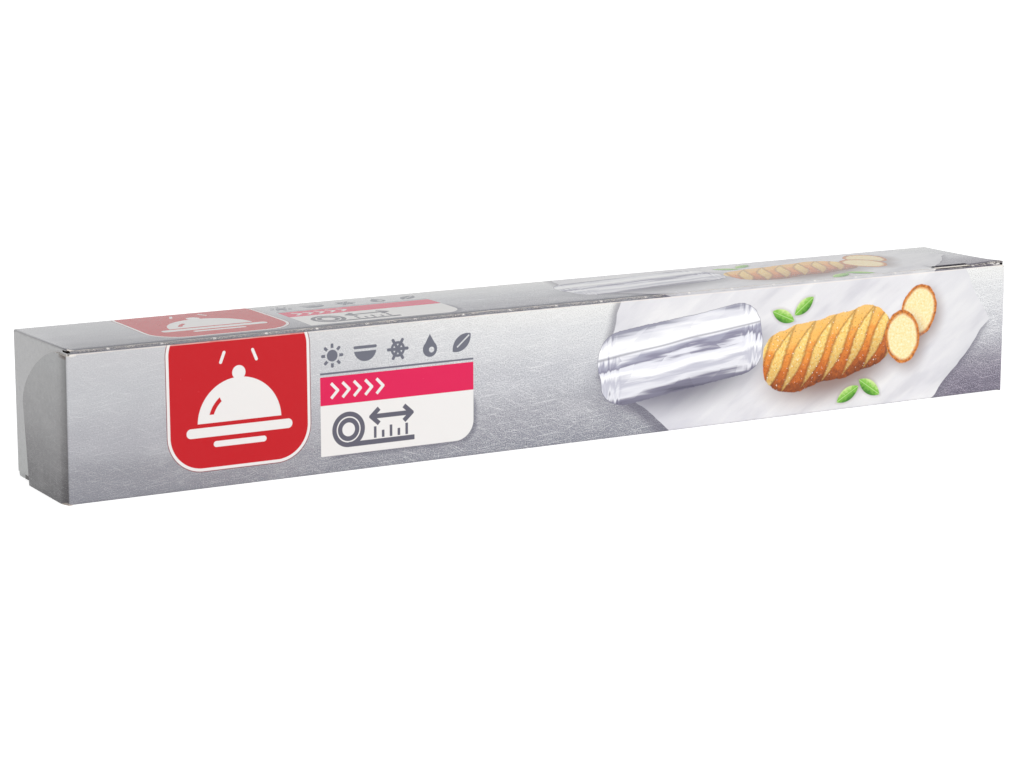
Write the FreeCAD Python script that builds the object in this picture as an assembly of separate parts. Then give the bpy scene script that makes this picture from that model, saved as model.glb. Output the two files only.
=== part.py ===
"""A closed folding carton that holds a roll of kitchen foil, as bought and still sealed.

X runs along the carton, Y from the front panel (-Y) to the back panel (+Y) and Z up.
The origin is the middle of the face that the carton stands on. All sizes are millimetres.
"""

import FreeCAD, Part
import math
import os

Vector = FreeCAD.Vector

# The closed carton
LENGTH = 305.0  # over the outer flaps of both ends
DEPTH = 40.0  # front panel to back panel
HEIGHT = 40.0  # base to lid
BOARD = 0.5  # thickness of the board
FOLD_RADIUS = 0.8  # outside of the folds that run along the carton
END_FOLD_RADIUS = 0.4  # outside of the folds at the ends
SEAM_HEIGHT = 1.6  # where the back panel's glued edge ends, above the base

# The perforated line that joins the lid to the front panel
TEAR_STRIP_DEPTH = 1.2  # from the front panel back to the line of cuts
TEAR_STRIP_DROP = 0.6  # from the lid down to the front panel's crease
CUT_PITCH = 14.8
CUT_WIDTH = 0.3
CUT_DEPTH = 0.8
NICK_LENGTH = 0.9  # board left between two cuts
OPEN_CUT_WIDTH = 0.9  # the last whole cut at the right, which gapes
END_CUT_LEAST = 8.0  # shortest cut that may be left at the ends

# The outer end flap, which is folded round from the front panel
LEAF_REAR_TOP = 8.0  # its rear edge to the back panel, below the rounded corner
LEAF_REAR_BOTTOM = 9.0  # the same at the base
LEAF_TOP_GAP = 1.0  # its top edge to the lid
LEAF_CURVE_LENGTH = 25.0  # the rounded corner, along the top edge
LEAF_CURVE_DROP = 17.0  # the rounded corner, down the rear edge
LEAF_CURVE_HOLD = 8.0  # how far the curve's ends keep to those edges

# The flap under it, which is folded down from the lid
EAR_REAR_TOP = 0.4
EAR_REAR_BOTTOM = 1.2
EAR_FOOT_GAP = 1.5
EAR_FRONT_GAP = 0.3

# The opening at the front corners, where the cuts run out between lid and flaps
CORNER_GAP_LENGTH = 1.6
CORNER_GAP_DEPTH = 2.6
CORNER_GAP_HEIGHT = 0.5

FRONT = -DEPTH / 2
REAR = DEPTH / 2
END = LENGTH / 2
CORE_END = END - 2 * BOARD  # the inmost flaps, under the leaf and the ear
LINE_OF_CUTS = FRONT + TEAR_STRIP_DEPTH


def unit(here, there):
    step = (there[0] - here[0], there[1] - here[1])
    size = math.hypot(*step)
    return step[0] / size, step[1] / size


def rounded(here, before, after, radius):
    """The start, middle and end of the arc that rounds the flat corner here."""
    back, on = unit(here, before), unit(here, after)
    half = math.acos(back[0] * on[0] + back[1] * on[1]) / 2
    reach = radius / math.tan(half)
    start = (here[0] + reach * back[0], here[1] + reach * back[1])
    end = (here[0] + reach * on[0], here[1] + reach * on[1])
    inward = unit((0.0, 0.0), (back[0] + on[0], back[1] + on[1]))
    away = radius / math.sin(half) - radius
    middle = (here[0] + away * inward[0], here[1] + away * inward[1])
    return start, middle, end


def outline(corners, point):
    """A closed wire through corners (a, b, radius), where point(a, b) is a place in space."""
    arcs = []
    for number, (a, b, radius) in enumerate(corners):
        before = corners[number - 1][:2]
        after = corners[(number + 1) % len(corners)][:2]
        if radius > 0:
            arcs.append(rounded((a, b), before, after, radius))
        else:
            arcs.append(((a, b), None, (a, b)))
    edges = []
    for number, (start, middle, end) in enumerate(arcs):
        if middle is not None:
            edges.append(Part.Arc(point(*start), point(*middle), point(*end)).toShape())
        following = arcs[(number + 1) % len(arcs)][0]
        edges.append(Part.LineSegment(point(*end), point(*following)).toShape())
    return Part.Wire(edges)


def slab(wire, x, y=0.0, z=0.0):
    """The wire filled, and made thick by the given step."""
    return Part.Face(wire).extrude(Vector(x, y, z))


def across(x):
    """Places in the plane across the carton at x, from (y, z)."""
    return lambda y, z: Vector(x, y, z)


def within_folds(shape, half_length, folded_side):
    """The part of the shape inside the rounded folds at both ends of one side.

    folded_side is front, rear or lid.
    """
    near = {"front": -FRONT, "rear": REAR, "lid": HEIGHT}[folded_side]
    far = near - 2 * DEPTH - 2 * HEIGHT
    turn = -1 if folded_side == "front" else 1
    corners = [
        (-half_length, turn * far, 0.0),
        (half_length, turn * far, 0.0),
        (half_length, turn * near, END_FOLD_RADIUS),
        (-half_length, turn * near, END_FOLD_RADIUS),
    ]
    if folded_side == "lid":
        wire = outline(corners, lambda x, z: Vector(x, -DEPTH, z))
        return shape.common(slab(wire, 0, 2 * DEPTH))
    wire = outline(corners, lambda x, y: Vector(x, y, -HEIGHT))
    return shape.common(slab(wire, 0, 0, 3 * HEIGHT))


def long_panels(half_length):
    """The front, base, back and lid, folded round and filled."""
    section = [
        (FRONT, 0.0, FOLD_RADIUS),
        (FRONT, HEIGHT - TEAR_STRIP_DROP, 0.0),
        (LINE_OF_CUTS, HEIGHT, 0.0),
        (REAR, HEIGHT, FOLD_RADIUS),
        (REAR, SEAM_HEIGHT, 0.0),
        (REAR - BOARD, SEAM_HEIGHT, 0.0),
        (REAR - BOARD, 0.0, FOLD_RADIUS),
    ]
    return slab(outline(section, across(-half_length)), 2 * half_length)


def core():
    """The four long panels, closed at both ends by the inmost flaps."""
    return within_folds(long_panels(CORE_END), CORE_END, "rear")


def ear():
    """The left end flap that comes down from the lid."""
    rear_top = REAR - FOLD_RADIUS - EAR_REAR_TOP
    front = FRONT + BOARD + EAR_FRONT_GAP
    corners = [
        (front, EAR_FOOT_GAP, END_FOLD_RADIUS),
        (front, HEIGHT - TEAR_STRIP_DROP, 0.0),
        (LINE_OF_CUTS, HEIGHT, 0.0),
        (rear_top, HEIGHT, FOLD_RADIUS),
        (REAR - EAR_REAR_BOTTOM, EAR_FOOT_GAP, END_FOLD_RADIUS),
    ]
    return slab(outline(corners, across(-CORE_END - BOARD)), BOARD)


def leaf_outline(x):
    """The outer flap's outline: straight at the front, top and base, with one large curve."""
    top = HEIGHT - LEAF_TOP_GAP
    rear = REAR - LEAF_REAR_TOP
    curve_start = Vector(x, rear - LEAF_CURVE_LENGTH, top)
    curve_end = Vector(x, rear, top - LEAF_CURVE_DROP)
    along_top = curve_start + Vector(0, LEAF_CURVE_HOLD, 0)
    along_rear = curve_end + Vector(0, 0, LEAF_CURVE_HOLD)
    curve = Part.BezierCurve()
    curve.setPoles([curve_start, along_top, along_rear, curve_end])
    base_rear = Vector(x, REAR - LEAF_REAR_BOTTOM, 0)
    base_front = Vector(x, FRONT, 0)
    front_top = Vector(x, FRONT, top)
    edges = [curve.toShape()]
    places = [curve_end, base_rear, base_front, front_top, curve_start]
    for here, there in zip(places, places[1:]):
        edges.append(Part.LineSegment(here, there).toShape())
    return Part.Wire(edges)


def leaf():
    """The left end flap that comes round from the front panel, with the panel's own end."""
    flap = slab(leaf_outline(-END), BOARD)
    panel_end = Part.makeBox(2 * BOARD, BOARD, HEIGHT - LEAF_TOP_GAP, Vector(-END, FRONT, 0))
    folded = flap.fuse(panel_end).common(long_panels(END))
    return within_folds(folded, END, "front")


def both_ends(shape):
    return [shape, shape.mirror(Vector(0, 0, 0), Vector(1, 0, 0))]


def nick_places():
    """Middles of the uncut bridges, spread evenly about the middle of the carton."""
    span = LENGTH - 2 * (BOARD + END_CUT_LEAST)
    count = int(span // CUT_PITCH) + 1
    first = -(count - 1) * CUT_PITCH / 2
    return [first + number * CUT_PITCH for number in range(count)]


def cuts():
    """The cuts of the perforated line, one between each two nicks and one at each end."""
    nicks = nick_places()
    lid_end = END - BOARD
    starts = [-lid_end] + [nick + NICK_LENGTH / 2 for nick in nicks]
    ends = [nick - NICK_LENGTH / 2 for nick in nicks] + [lid_end]
    open_cut = len(nicks) - 1
    solids = []
    for number, (start, end) in enumerate(zip(starts, ends)):
        width = OPEN_CUT_WIDTH if number == open_cut else CUT_WIDTH
        corner = Vector(start, LINE_OF_CUTS - CUT_WIDTH / 2, HEIGHT - CUT_DEPTH)
        solids.append(Part.makeBox(end - start, width, CUT_DEPTH + BOARD, corner))
    return solids


def corner_gap():
    """The opening under the lid's left front corner."""
    corner = Vector(-END, FRONT, HEIGHT - BOARD - CORNER_GAP_HEIGHT)
    return Part.makeBox(CORNER_GAP_LENGTH, CORNER_GAP_DEPTH, CORNER_GAP_HEIGHT, corner)


def foil_carton():
    lidded = core().multiFuse(both_ends(ear())).removeSplitter()
    lidded = within_folds(lidded, CORE_END + BOARD, "lid")
    closed = lidded.multiFuse(both_ends(leaf())).removeSplitter()
    return closed.cut(Part.makeCompound(cuts() + both_ends(corner_gap()))).removeSplitter()


def write(name, shape):
    solids = shape.Solids
    print(name, "solids", len(solids), "valid", shape.isValid(), "volume", round(shape.Volume, 1))
    print("box", shape.BoundBox)
    os.makedirs("parts", exist_ok=True)
    solids[0].exportStep("parts/" + name + ".step")


write("foil_carton", foil_carton())
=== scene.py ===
"""A sealed folding carton of kitchen foil: folded and perforated board with a printed face and lid."""

import math
import random

import bmesh
import bpy
from mathutils import Matrix, Vector, noise
from mathutils.geometry import interpolate_bezier


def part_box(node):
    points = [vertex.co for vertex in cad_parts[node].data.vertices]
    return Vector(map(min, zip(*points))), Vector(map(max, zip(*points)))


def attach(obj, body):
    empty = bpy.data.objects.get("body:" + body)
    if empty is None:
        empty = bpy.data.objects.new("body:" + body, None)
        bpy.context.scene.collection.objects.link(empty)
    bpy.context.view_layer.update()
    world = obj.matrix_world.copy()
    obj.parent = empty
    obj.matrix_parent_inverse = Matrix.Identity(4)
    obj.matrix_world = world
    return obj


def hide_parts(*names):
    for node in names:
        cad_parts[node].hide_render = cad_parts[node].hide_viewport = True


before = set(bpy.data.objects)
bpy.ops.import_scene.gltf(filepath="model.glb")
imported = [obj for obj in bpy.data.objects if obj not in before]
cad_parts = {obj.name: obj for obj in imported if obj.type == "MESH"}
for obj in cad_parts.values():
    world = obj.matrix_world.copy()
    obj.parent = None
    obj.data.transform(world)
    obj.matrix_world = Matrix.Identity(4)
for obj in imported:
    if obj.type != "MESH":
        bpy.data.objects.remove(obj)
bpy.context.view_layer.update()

MM = 0.001
NODE = "foil_carton"
low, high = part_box(NODE)
LENGTH = high.x - low.x
END = LENGTH / 2
FRONT, REAR = low.y, high.y
DEPTH = REAR - FRONT
HEIGHT = high.z

# Board and folds
BOARD = 0.5 * MM
FOLD_RADIUS = 0.8 * MM
END_FOLD_RADIUS = 0.38 * MM
FOLD_STEPS = 4
END_FOLD_STEPS = 3
CORE_END = END - 2 * BOARD
SEAM_HEIGHT = 1.6 * MM
SEAM_SLOPE = 0.05 * MM
SHARP_ANGLE = math.radians(38.0)
BOW = 0.22 * MM
BOW_SWAY = 0.6
BOW_NOISE = (3.7, 1.1)
NEAR = 0.02 * MM
SAME_SPOT = 1e-6

# The perforated line along the front of the lid
TEAR_STRIP_DEPTH = 1.2 * MM
TEAR_STRIP_DROP = 0.6 * MM
LINE_OF_CUTS = FRONT + TEAR_STRIP_DEPTH
CREASE_HEIGHT = HEIGHT - TEAR_STRIP_DROP
CUT_PITCH = 14.8 * MM
CUT_WIDTH = 0.28 * MM
CUT_DEPTH = 0.8 * MM
CUT_TAPER = 0.03 * MM
NICK_LENGTH = 0.9 * MM
NICKS = 20
FIRST_NICK = -(NICKS - 1) * CUT_PITCH / 2
CUT_GAPE = (0.0, 0.25 * MM)
CUT_LIFT = (0.0, 0.12 * MM)
OPEN_CUT_GAPE = 0.7 * MM
OPEN_CUT_LIFT = 0.12 * MM
OPEN_CUT_DROP = 0.3 * MM
OPEN_CUT_RUN = 0.7 * MM
LIP_CREST = LINE_OF_CUTS + CUT_WIDTH + OPEN_CUT_GAPE + 1.0 * MM
LIP_CREST_LIFT = 0.38 * MM
RAW_EDGE = 0.4 * MM

# The flap folded down from the lid, and the leaf folded round from the front panel
EAR_REAR_GAP = 1.2 * MM
EAR_FOOT_GAP = 1.5 * MM
EAR_FRONT_GAP = 0.8 * MM
LEAF_REAR_TOP = 8.9 * MM
LEAF_REAR_BOTTOM = 13.2 * MM
LEAF_TOP_GAP = 1.0 * MM
LEAF_CURVE_LENGTH = 25.0 * MM
LEAF_CURVE_DROP = 17.0 * MM
LEAF_CURVE_HOLD = 8.0 * MM
LEAF_CURVE_STEPS = 20

# The left end is folded a little out of square: its lean outward at the base, and back from
# there to the lid, for its front and its rear edge
FRONT_LEAN = (0.32 * MM, 0.46 * MM)
REAR_LEAN = (0.72 * MM, 0.1 * MM)

# The left leaf bends out behind its fold: how far behind, and how far its foot stands off
LEAF_BEND = 4.0 * MM
LEAF_BEND_STEPS = 5
LEAF_STAND_OFF = 0.9 * MM

# The opening under the lid's front corners
CORNER_GAP_LENGTH = 1.6 * MM
CORNER_GAP_DEPTH = 3.4 * MM
CORNER_GAP_HEIGHT = 0.5 * MM
LEFT_GAP_TOP = HEIGHT + 0.15 * MM
RIGHT_GAP_TOP = HEIGHT - 0.1 * MM

# How far the lid's ends have sprung up at their front, how far along the lid that runs, and
# how far the right end's torn tip sticks out
LEFT_LIFT = 0.6 * MM
LEFT_LIFT_RUN = 2.0 * MM
RIGHT_LIFT = 0.5 * MM
RIGHT_LIFT_RUN = 9.0 * MM
RIGHT_TIP = 0.8 * MM

# Print zones on the front and the lid, in millimetres from the left end
ZONES = {"badge": (26.0, 69.0), "label": (69.0, 124.0), "picture": (150.0, 305.0)}

random.seed(7)


# Numbers and shapes as nodes

class Value:
    """A number that varies over the surface. Arithmetic on it adds Math nodes."""

    def __init__(self, tree, socket):
        self.tree, self.socket = tree, socket

    def math(self, operation, *others, clamp=False):
        node = make_node(self.tree, "Math", enumerate((self, *others)),
                         operation=operation, use_clamp=clamp)
        return Value(self.tree, node.outputs[0])

    def __add__(self, other):
        return self.math("ADD", other)

    def __sub__(self, other):
        return self.math("SUBTRACT", other)

    def __mul__(self, other):
        return self.math("MULTIPLY", other)

    def __neg__(self):
        return self.math("MULTIPLY", -1.0)

    def __abs__(self):
        return self.math("ABSOLUTE")

    def clipped(self):
        return self.math("ADD", 0.0, clamp=True)


class Place(Value):
    """A point on the print, in millimetres: from the left end, and down from the top edge."""

    def vector(self, operation, *others):
        return make_node(self.tree, "VectorMath", enumerate((self, *others)), operation=operation)

    def changed(self, operation, *others):
        return Place(self.tree, self.vector(operation, *others).outputs["Vector"])

    def measured(self, operation, *others):
        return Value(self.tree, self.vector(operation, *others).outputs["Value"])

    def local(self, centre, half=(1.0, 1.0), angle=0.0):
        """The place seen from centre, turned by angle in degrees, in units of half."""
        node = make_node(self.tree, "Mapping", {
            "Vector": self, "Location": (*centre, 0.0), "Scale": (*half, 1.0),
            "Rotation": (0.0, 0.0, math.radians(angle)),
        }, vector_type="TEXTURE")
        return Place(self.tree, node.outputs[0])

    def length(self):
        return self.measured("LENGTH")

    def distance(self, point):
        return self.measured("DISTANCE", (*point, 0.0))

    def along(self, direction):
        return self.measured("DOT_PRODUCT", (*direction, 0.0))

    def scaled(self, factors):
        return self.changed("MULTIPLY", (*factors, 1.0))

    def parts(self):
        node = make_node(self.tree, "SeparateXYZ", {0: self})
        return [Value(self.tree, socket) for socket in node.outputs[:2]]


class Ink(Value):
    """A colour that varies over the surface."""


def feed(tree, value, socket):
    if isinstance(value, Value):
        tree.links.new(value.socket, socket)
    else:
        socket.default_value = value


def make_node(tree, kind, sockets=(), **settings):
    """A shader node with these settings, and these numbers, colours or Values in its sockets."""
    node = tree.nodes.new("ShaderNode" + kind)
    for name, setting in settings.items():
        setattr(node, name, setting)
    for name, value in dict(sockets).items():
        feed(tree, value, node.inputs[name])
    return node


def srgb(red, green, blue):
    """A display colour of 0 to 255 as the linear colour that a shader takes."""
    def linear(level):
        level /= 255
        return level / 12.92 if level <= 0.04045 else ((level + 0.055) / 1.055) ** 2.4
    return (linear(red), linear(green), linear(blue), 1.0)


def either(first, *others):
    for other in others:
        first = first.math("MINIMUM", other)
    return first


def both(first, *others):
    for other in others:
        first = first.math("MAXIMUM", other)
    return first


def without(shape, hole):
    return both(shape, -hole)


def disc(place, centre, radius):
    return place.distance(centre) - radius


def oval(place, centre, half, angle=0.0):
    return (place.local(centre, half, angle).length() - 1.0) * min(half)


def block(place, centre, half, corner=0.15, angle=0.0):
    """A rectangle with rounded corners, or a bar with round ends."""
    inner = (half[0] - corner, half[1] - corner, 0.0)
    beyond = place.local(centre, angle=angle).changed("ABSOLUTE").changed("SUBTRACT", inner)
    return beyond.changed("MAXIMUM", (0.0, 0.0, 0.0)).length() - corner


def side(place, start, end):
    """Distance to the left of the line from start to end, as seen on the print."""
    run = Vector(end) - Vector(start)
    normal = Vector((run.y, -run.x)).normalized()
    return place.along(normal) - normal.dot(Vector(start))


def polygon(place, corners):
    """A convex shape, its corners in clockwise order as seen on the print."""
    return both(*(side(place, a, b) for a, b in zip(corners, corners[1:] + corners[:1])))


def pointed_leaf(place, centre, length, width, angle):
    """A leaf shape: where two large discs overlap."""
    seen = place.local(centre, angle=angle)
    radius = (length ** 2 + width ** 2) / (4 * width)
    offset = radius - width / 2
    return both(disc(seen, (0.0, offset), radius), disc(seen, (0.0, -offset), radius)), seen


def between(value, start, end, course="SMOOTHSTEP"):
    """0 at start and 1 at end, smoothly if the course isn't another."""
    node = make_node(value.tree, "MapRange", {"Value": value, "From Min": start, "From Max": end},
                     interpolation_type=course)
    return Value(value.tree, node.outputs[0])


def cover(distance, soft=0.07):
    """1 inside a shape and 0 outside it, over an edge of this softness in millimetres."""
    return between(distance, soft, -soft, "LINEAR")


def paint(under, ink, share, blend="MIX"):
    """The colour under with ink, a varying one or a display colour, over this share of it."""
    ink = ink if isinstance(ink, Value) else srgb(*ink)
    node = make_node(share.tree, "Mix", {0: share, 6: under, 7: ink},
                     data_type="RGBA", blend_type=blend)
    return Ink(share.tree, node.outputs[2])


def painted(colour, *layers):
    """The colour with layers of ink laid over it in turn, each given as (ink, share)."""
    for ink, share in layers:
        colour = paint(colour, ink, share)
    return colour


def ramp(value, stops):
    """A colour from stops of (position, red, green, blue)."""
    node = make_node(value.tree, "ValToRGB", {0: value})
    node.color_ramp.interpolation = "EASE"
    elements = node.color_ramp.elements
    while len(elements) < len(stops):
        elements.new(1.0)
    for element, (position, *colour) in zip(elements, stops):
        element.position, element.color = position, srgb(*colour)
    return Ink(value.tree, node.outputs[0])


def grain(place, size, detail=2.0, rough=0.5):
    """Noise from about 0 to 1 with spots of this size in millimetres."""
    node = make_node(place.tree, "TexNoise", {
        "Vector": place, "Scale": 1.0 / size, "Detail": detail, "Roughness": rough,
    })
    return Value(place.tree, node.outputs[0])


def facets(place, size):
    """Crumples of this size, with a random number from 0 to 1 for each."""
    node = make_node(place.tree, "TexVoronoi", {"Vector": place, "Scale": 1.0 / size})
    split = make_node(place.tree, "SeparateColor", {0: Value(place.tree, node.outputs["Color"])})
    return Value(place.tree, split.outputs[0])


# Print

def coordinates(tree):
    """Object coordinates as a place and as x, y and z, in millimetres."""
    raw = Place(tree, make_node(tree, "TexCoord").outputs["Object"])
    spot = raw.changed("MULTIPLY", (1 / MM,) * 3)
    split = make_node(tree, "SeparateXYZ", {0: spot})
    return spot, [Value(tree, socket) for socket in split.outputs]


def joined(across, down):
    node = make_node(across.tree, "CombineXYZ", {0: across, 1: down})
    return Place(across.tree, node.outputs[0])


def print_place(tree):
    """Place on the artwork, which the front panel and the lid both carry.

    On the lid its top edge lies at the rear, and the tear strip continues the lid.
    """
    _, (x, y, z) = coordinates(tree)
    on_lid = z.math("GREATER_THAN", (CREASE_HEIGHT + NEAR) / MM)
    down_front = -(z - HEIGHT / MM)
    down_lid = -(y - REAR / MM)
    down = down_front + (down_lid - down_front) * on_lid
    return joined(x + END / MM, down), on_lid


# Scratches of the ground: angle in degrees, length and width, how rare and how strong
SCRATCHES = (
    (-6.0, 16.0, 0.12, 0.66, 0.6), (2.0, 5.0, 0.13, 0.66, 0.45), (31.0, 12.0, 0.12, 0.67, 0.55),
    (-24.0, 9.0, 0.12, 0.68, 0.5), (15.0, 12.0, 0.12, 0.68, 0.55), (56.0, 6.0, 0.12, 0.69, 0.4),
)


def streaks(place, angle, length, width, least):
    """Sparse straight scratches: a share from 0 to 1."""
    seen = place.local((0.0, 0.0), (length, width), angle)
    return between(grain(seen, 1.0, 1.0), least, least + 0.05)


def brushed_ground(place, left, right, strength):
    """The silver-grey ground: lighter at the top, finely grained and lightly scratched.

    left and right are ramps down the panel at its two ends, strength that of its texture.
    """
    across, down = place.parts()
    depth = down * (MM / HEIGHT)
    cloud = grain(place.scaled((0.5, 1.0)), 9.0, 3.0)
    fine = grain(place.scaled((0.6, 1.0)), 0.24, 1.0, 0.7)
    dark = between(fine, 0.5, 0.22) * (between(depth, 0.0, 0.7) * 0.25 + 0.25)
    scratched = [
        ((252, 252, 252), streaks(place, *shape) * strength * share)
        for *shape, share in SCRATCHES
    ]
    return painted(
        ramp(depth, left), (ramp(depth, right), between(across, 20.0, 150.0)),
        (GLEAM, between(cloud, 0.5, 0.85) * 0.14),
        ((120, 120, 130), between(cloud, 0.45, 0.15) * 0.14),
        (GLEAM, between(fine, 0.5, 0.78) * strength * 0.5),
        ((70, 72, 84), dark * strength), *scratched,
    )


GROUND_LEFT = (
    (0.0, 199, 199, 202), (0.3, 191, 192, 196), (0.62, 174, 174, 180),
    (0.85, 147, 147, 154), (1.0, 137, 137, 145),
)
GROUND_RIGHT = (
    (0.0, 230, 230, 228), (0.2, 215, 216, 218), (0.5, 190, 191, 197),
    (0.75, 163, 163, 171), (1.0, 140, 141, 151),
)
GLEAM = (255, 255, 255)
WHITE = (237, 235, 233)
RED = (196, 13, 27)
CRIMSON = (222, 24, 84)
SLATE = (96, 95, 108)
PALE_BOARD = (222, 208, 196)


def badge_art(place, colour):
    """A red rounded tile with a covered dish on it, a plain sign for cooking."""
    middle = 47.75
    tile = block(place, (middle, 14.6), (19.65, 19.65), 9.0)
    dome = both(disc(place, (middle, 22.8), 12.0), side(place, (0.0, 22.4), (1.0, 22.4)) * -1.0)
    shine = both(
        abs(disc(place, (middle, 22.8), 8.4)) - 0.6,
        side(place, (middle - 2.6, 22.0), (middle - 8.4, 10.0)) * -1.0,
        side(place, (0.0, 20.2), (1.0, 20.2)) * -1.0,
    )
    knob = disc(place, (middle, 9.6), 1.9)
    plate = block(place, (middle, 24.8), (15.2, 1.3), 1.25)
    foot = block(place, (middle, 28.2), (7.6, 0.8), 0.8)
    steam = [block(place, (middle + lean * 4.6, 5.2), (1.8, 0.42), 0.42, lean * 68.0)
             for lean in (-1.0, 1.0)]
    return painted(
        colour, ((136, 60, 68), cover(tile - 1.1)), (WHITE, cover(tile - 0.9)),
        (RED, cover(tile - 0.1)), (WHITE, cover(either(dome, knob, plate, foot, *steam))),
        (RED, cover(shine)),
    )


def sun_sign(place, x, y):
    rays = [block(place, (x, y), (3.3, 0.42), 0.36, turn) for turn in (0.0, 45.0, 90.0, 135.0)]
    return either(without(either(*rays), disc(place, (x, y), 2.1)), disc(place, (x, y), 1.6))


def frost_sign(place, x, y):
    arms = [block(place, (x, y), (3.3, 0.44), 0.38, turn) for turn in (0.0, 60.0, 120.0)]
    ring = abs(disc(place, (x, y), 1.8)) - 0.38
    return either(*arms, ring)


def bowl_sign(place, x, y):
    bowl = both(disc(place, (x, y - 1.0), 3.4), side(place, (0.0, y - 0.4), (1.0, y - 0.4)))
    lid = block(place, (x, y - 1.5), (3.5, 0.42), 0.4)
    return either(bowl, lid)


def drop_sign(place, x, y):
    body = disc(place, (x, y + 0.9), 2.2)
    tip = polygon(place, [(x - 1.95, y + 0.1), (x, y - 3.3), (x + 1.95, y + 0.1)])
    return without(either(body, tip), disc(place, (x + 0.5, y + 1.1), 0.8))


def leaf_sign(place, x, y):
    shape, seen = pointed_leaf(place, (x, y), 7.4, 3.9, -40.0)
    return without(shape, block(seen, (0.6, 0.0), (2.5, 0.2), 0.18))


def label_art(place, colour):
    """A row of plain signs over a crimson band and a white panel with a measuring sign."""
    left, right = 71.3, 118.0
    middle, half = (left + right) / 2, (right - left) / 2
    band, roll, arrow = 17.3, (79.6, 28.4), (92.6, 25.6)
    round_corner = block(place, (middle - 10.0, 18.0), (half + 10.0, 17.2), 5.6)
    panel = both(block(place, (middle, 28.2), (half, 7.0)), round_corner)
    shadow = block(place, (middle + 0.7, 28.6), (half, 7.2), 5.0)
    rule = block(place, (middle, 12.5), (half, 0.26), 0.1)
    signs = [
        sign(place, 75.0 + 9.85 * number, 7.7)
        for number, sign in enumerate((sun_sign, bowl_sign, frost_sign, drop_sign, leaf_sign))
    ]
    chevrons = [
        block(place, (75.6 + 3.4 * number, band + lean * 0.95), (1.55, 0.42), 0.12, -lean * 46.0)
        for number in range(5) for lean in (1.0, -1.0)
    ]
    ring = without(disc(place, roll, 4.9), disc(place, roll, 1.9))
    turn = abs(disc(place, roll, 3.4)) - 0.18
    sheet = block(place, (89.6, 32.6), (10.0, 0.7), 0.2)
    shaft = block(place, arrow, (5.6, 0.65), 0.12)
    heads = [
        block(place, (arrow[0] + lean * 5.1, arrow[1] + turned * 0.9), (1.8, 0.65), 0.12,
              -lean * turned * 42.0)
        for lean in (-1.0, 1.0) for turned in (-1.0, 1.0)
    ]
    ticks = [
        block(place, (87.6 + 2.4 * number, 30.6 - rise), (0.4, 1.0 + rise), 0.1)
        for number, rise in enumerate((0.6, 0.0, 0.6, 0.0, 0.6))
    ]
    measure = either(without(ring, turn), sheet, shaft, *heads, *ticks)
    return painted(
        colour, ((96, 96, 110), between(shadow, 1.3, -0.6) * 0.6), (WHITE, cover(panel)),
        (CRIMSON, cover(block(place, (middle, band), (half, 3.9)))),
        ((108, 110, 122), cover(either(rule, *signs))), (WHITE, cover(either(*chevrons))),
        (SLATE, cover(measure)),
    )


def soft_shadow(place, colour, piece, shift, growth, strength, tint):
    """A shadow that fades out from the middle of an oval: the piece's, shifted and grown."""
    centre, half, angle = piece
    centre = (centre[0] + shift[0], centre[1] + shift[1])
    half = (half[0] * growth[0], half[1] * growth[1])
    reach = place.local(centre, half, angle).length()
    return paint(colour, tint, between(reach, 1.25, 0.45) * strength)


def loaf(place, colour, piece):
    """A long golden loaf, scored across and lit from the upper left."""
    centre, half, angle = piece
    colour = soft_shadow(place, colour, piece, (2.0, 4.4), (1.12, 1.2), 0.9, (132, 104, 96))
    across, down = place.local(centre, angle=angle).parts()
    rough = grain(place, 1.5, 5.0, 0.65) - 0.5
    lumps = grain(place, 10.0, 1.0) - 0.5
    body = block(place, centre, half, half[1] * 0.95, angle) + lumps * 3.0 + rough * 0.8
    rounding = between(abs(across), half[0] * 0.7, half[0]) * 0.18
    level = (down * (0.46 / half[1]) + 0.46 + rounding + rough * 0.55 + lumps * 0.3).clipped()
    crust = ramp(level, (
        (0.0, 244, 196, 116), (0.22, 250, 190, 98), (0.45, 234, 146, 60),
        (0.7, 196, 104, 40), (0.88, 138, 68, 28), (1.0, 92, 46, 24),
    ))
    slant = (across + down * 0.5 + abs(down) * down * 0.035) * (1 / 7.6)
    turned = down * (1 / half[1])
    swell = turned * turned * -1.3 + 1.0
    opened = abs(slant.math("FRACT") - 0.5) - swell * 0.27 + rough * 0.22
    crumb = ramp(grain(place, 0.8, 4.0, 0.7), (
        (0.3, 238, 172, 74), (0.5, 252, 214, 122), (0.7, 255, 240, 186),
    ))
    lit = between(turned, 0.9, -0.5) * 0.5 + 0.5
    crust = painted(
        crust, ((112, 56, 24), cover(opened - 0.07, 0.08) * 0.8), (crumb, cover(opened, 0.06) * lit),
        ((96, 48, 24), between(grain(place, 0.55, 3.0), 0.6, 0.68) * 0.6),
        ((255, 250, 232), between(grain(place, 0.9, 2.0), 0.66, 0.71) * 0.75),
    )
    return paint(colour, crust, cover(body, 0.12))


def loaf_slice(place, colour, piece):
    """A slice off the loaf, lying flat: pale crumb with a brown crust round it."""
    colour = soft_shadow(place, colour, piece, (1.6, 2.0), (1.2, 1.15), 0.7, (138, 116, 110))
    rim = oval(place, *piece) + (grain(place, 4.0, 3.0) - 0.5) * 1.2
    crust = ramp(grain(place, 1.0, 3.0), (
        (0.3, 150, 78, 32), (0.6, 214, 130, 56), (0.8, 242, 178, 94),
    ))
    crumb = ramp(grain(place, 0.7, 4.0, 0.7), (
        (0.25, 214, 158, 86), (0.4, 250, 224, 158), (0.7, 255, 245, 212),
    ))
    return painted(colour, (crust, cover(rim, 0.12)), (crumb, cover(rim + 1.0, 0.35)))


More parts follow.
